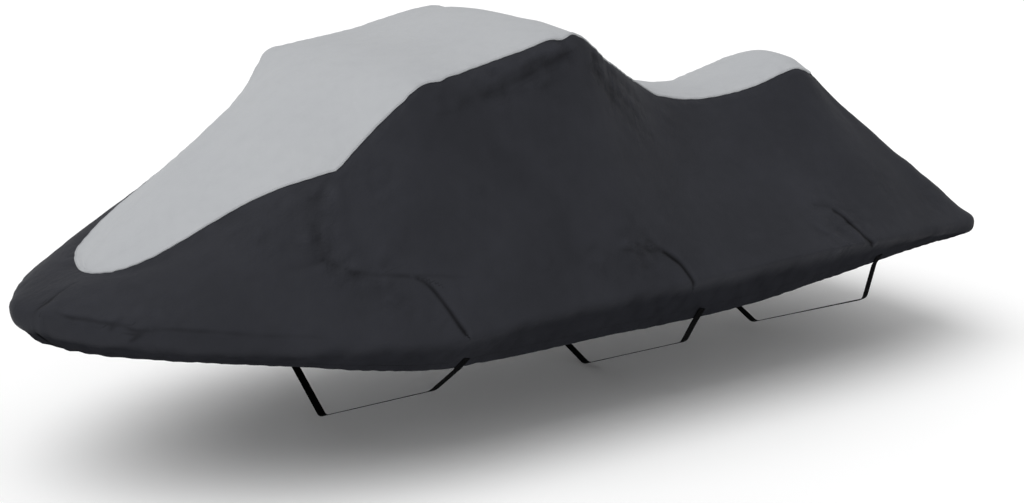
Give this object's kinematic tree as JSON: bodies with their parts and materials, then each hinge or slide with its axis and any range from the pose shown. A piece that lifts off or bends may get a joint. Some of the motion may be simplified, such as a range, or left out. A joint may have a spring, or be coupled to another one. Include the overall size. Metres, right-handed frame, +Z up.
{
  "type": "personal watercraft cover",
  "caption": "Fitted pale and dark cloth cover for a sit-on watercraft, rising over the handlebar and the long seat, with a tucked hem and webbing straps that pass under the hull.",
  "frame": {"origin": "underside of the top panel at the crest over the handlebar, on the middle plane", "axes": "+X along the hull towards the stern, +Y towards starboard, +Z up"},
  "size_m": [3.072, 1.2072, 1.1174],
  "materials": {
    "top_cloth": "matte coated woven polyester, pale grey",
    "side_cloth": "matte coated woven polyester, charcoal",
    "webbing": "black woven polypropylene webbing"
  },
  "bodies": {
    "root": {"top_panel": "top_cloth", "side_panel_port": "side_cloth", "side_panel_starboard": "side_cloth", "tie_strap_front": "webbing", "tie_strap_middle": "webbing", "tie_strap_rear": "webbing"}
  },
  "joints": []
}
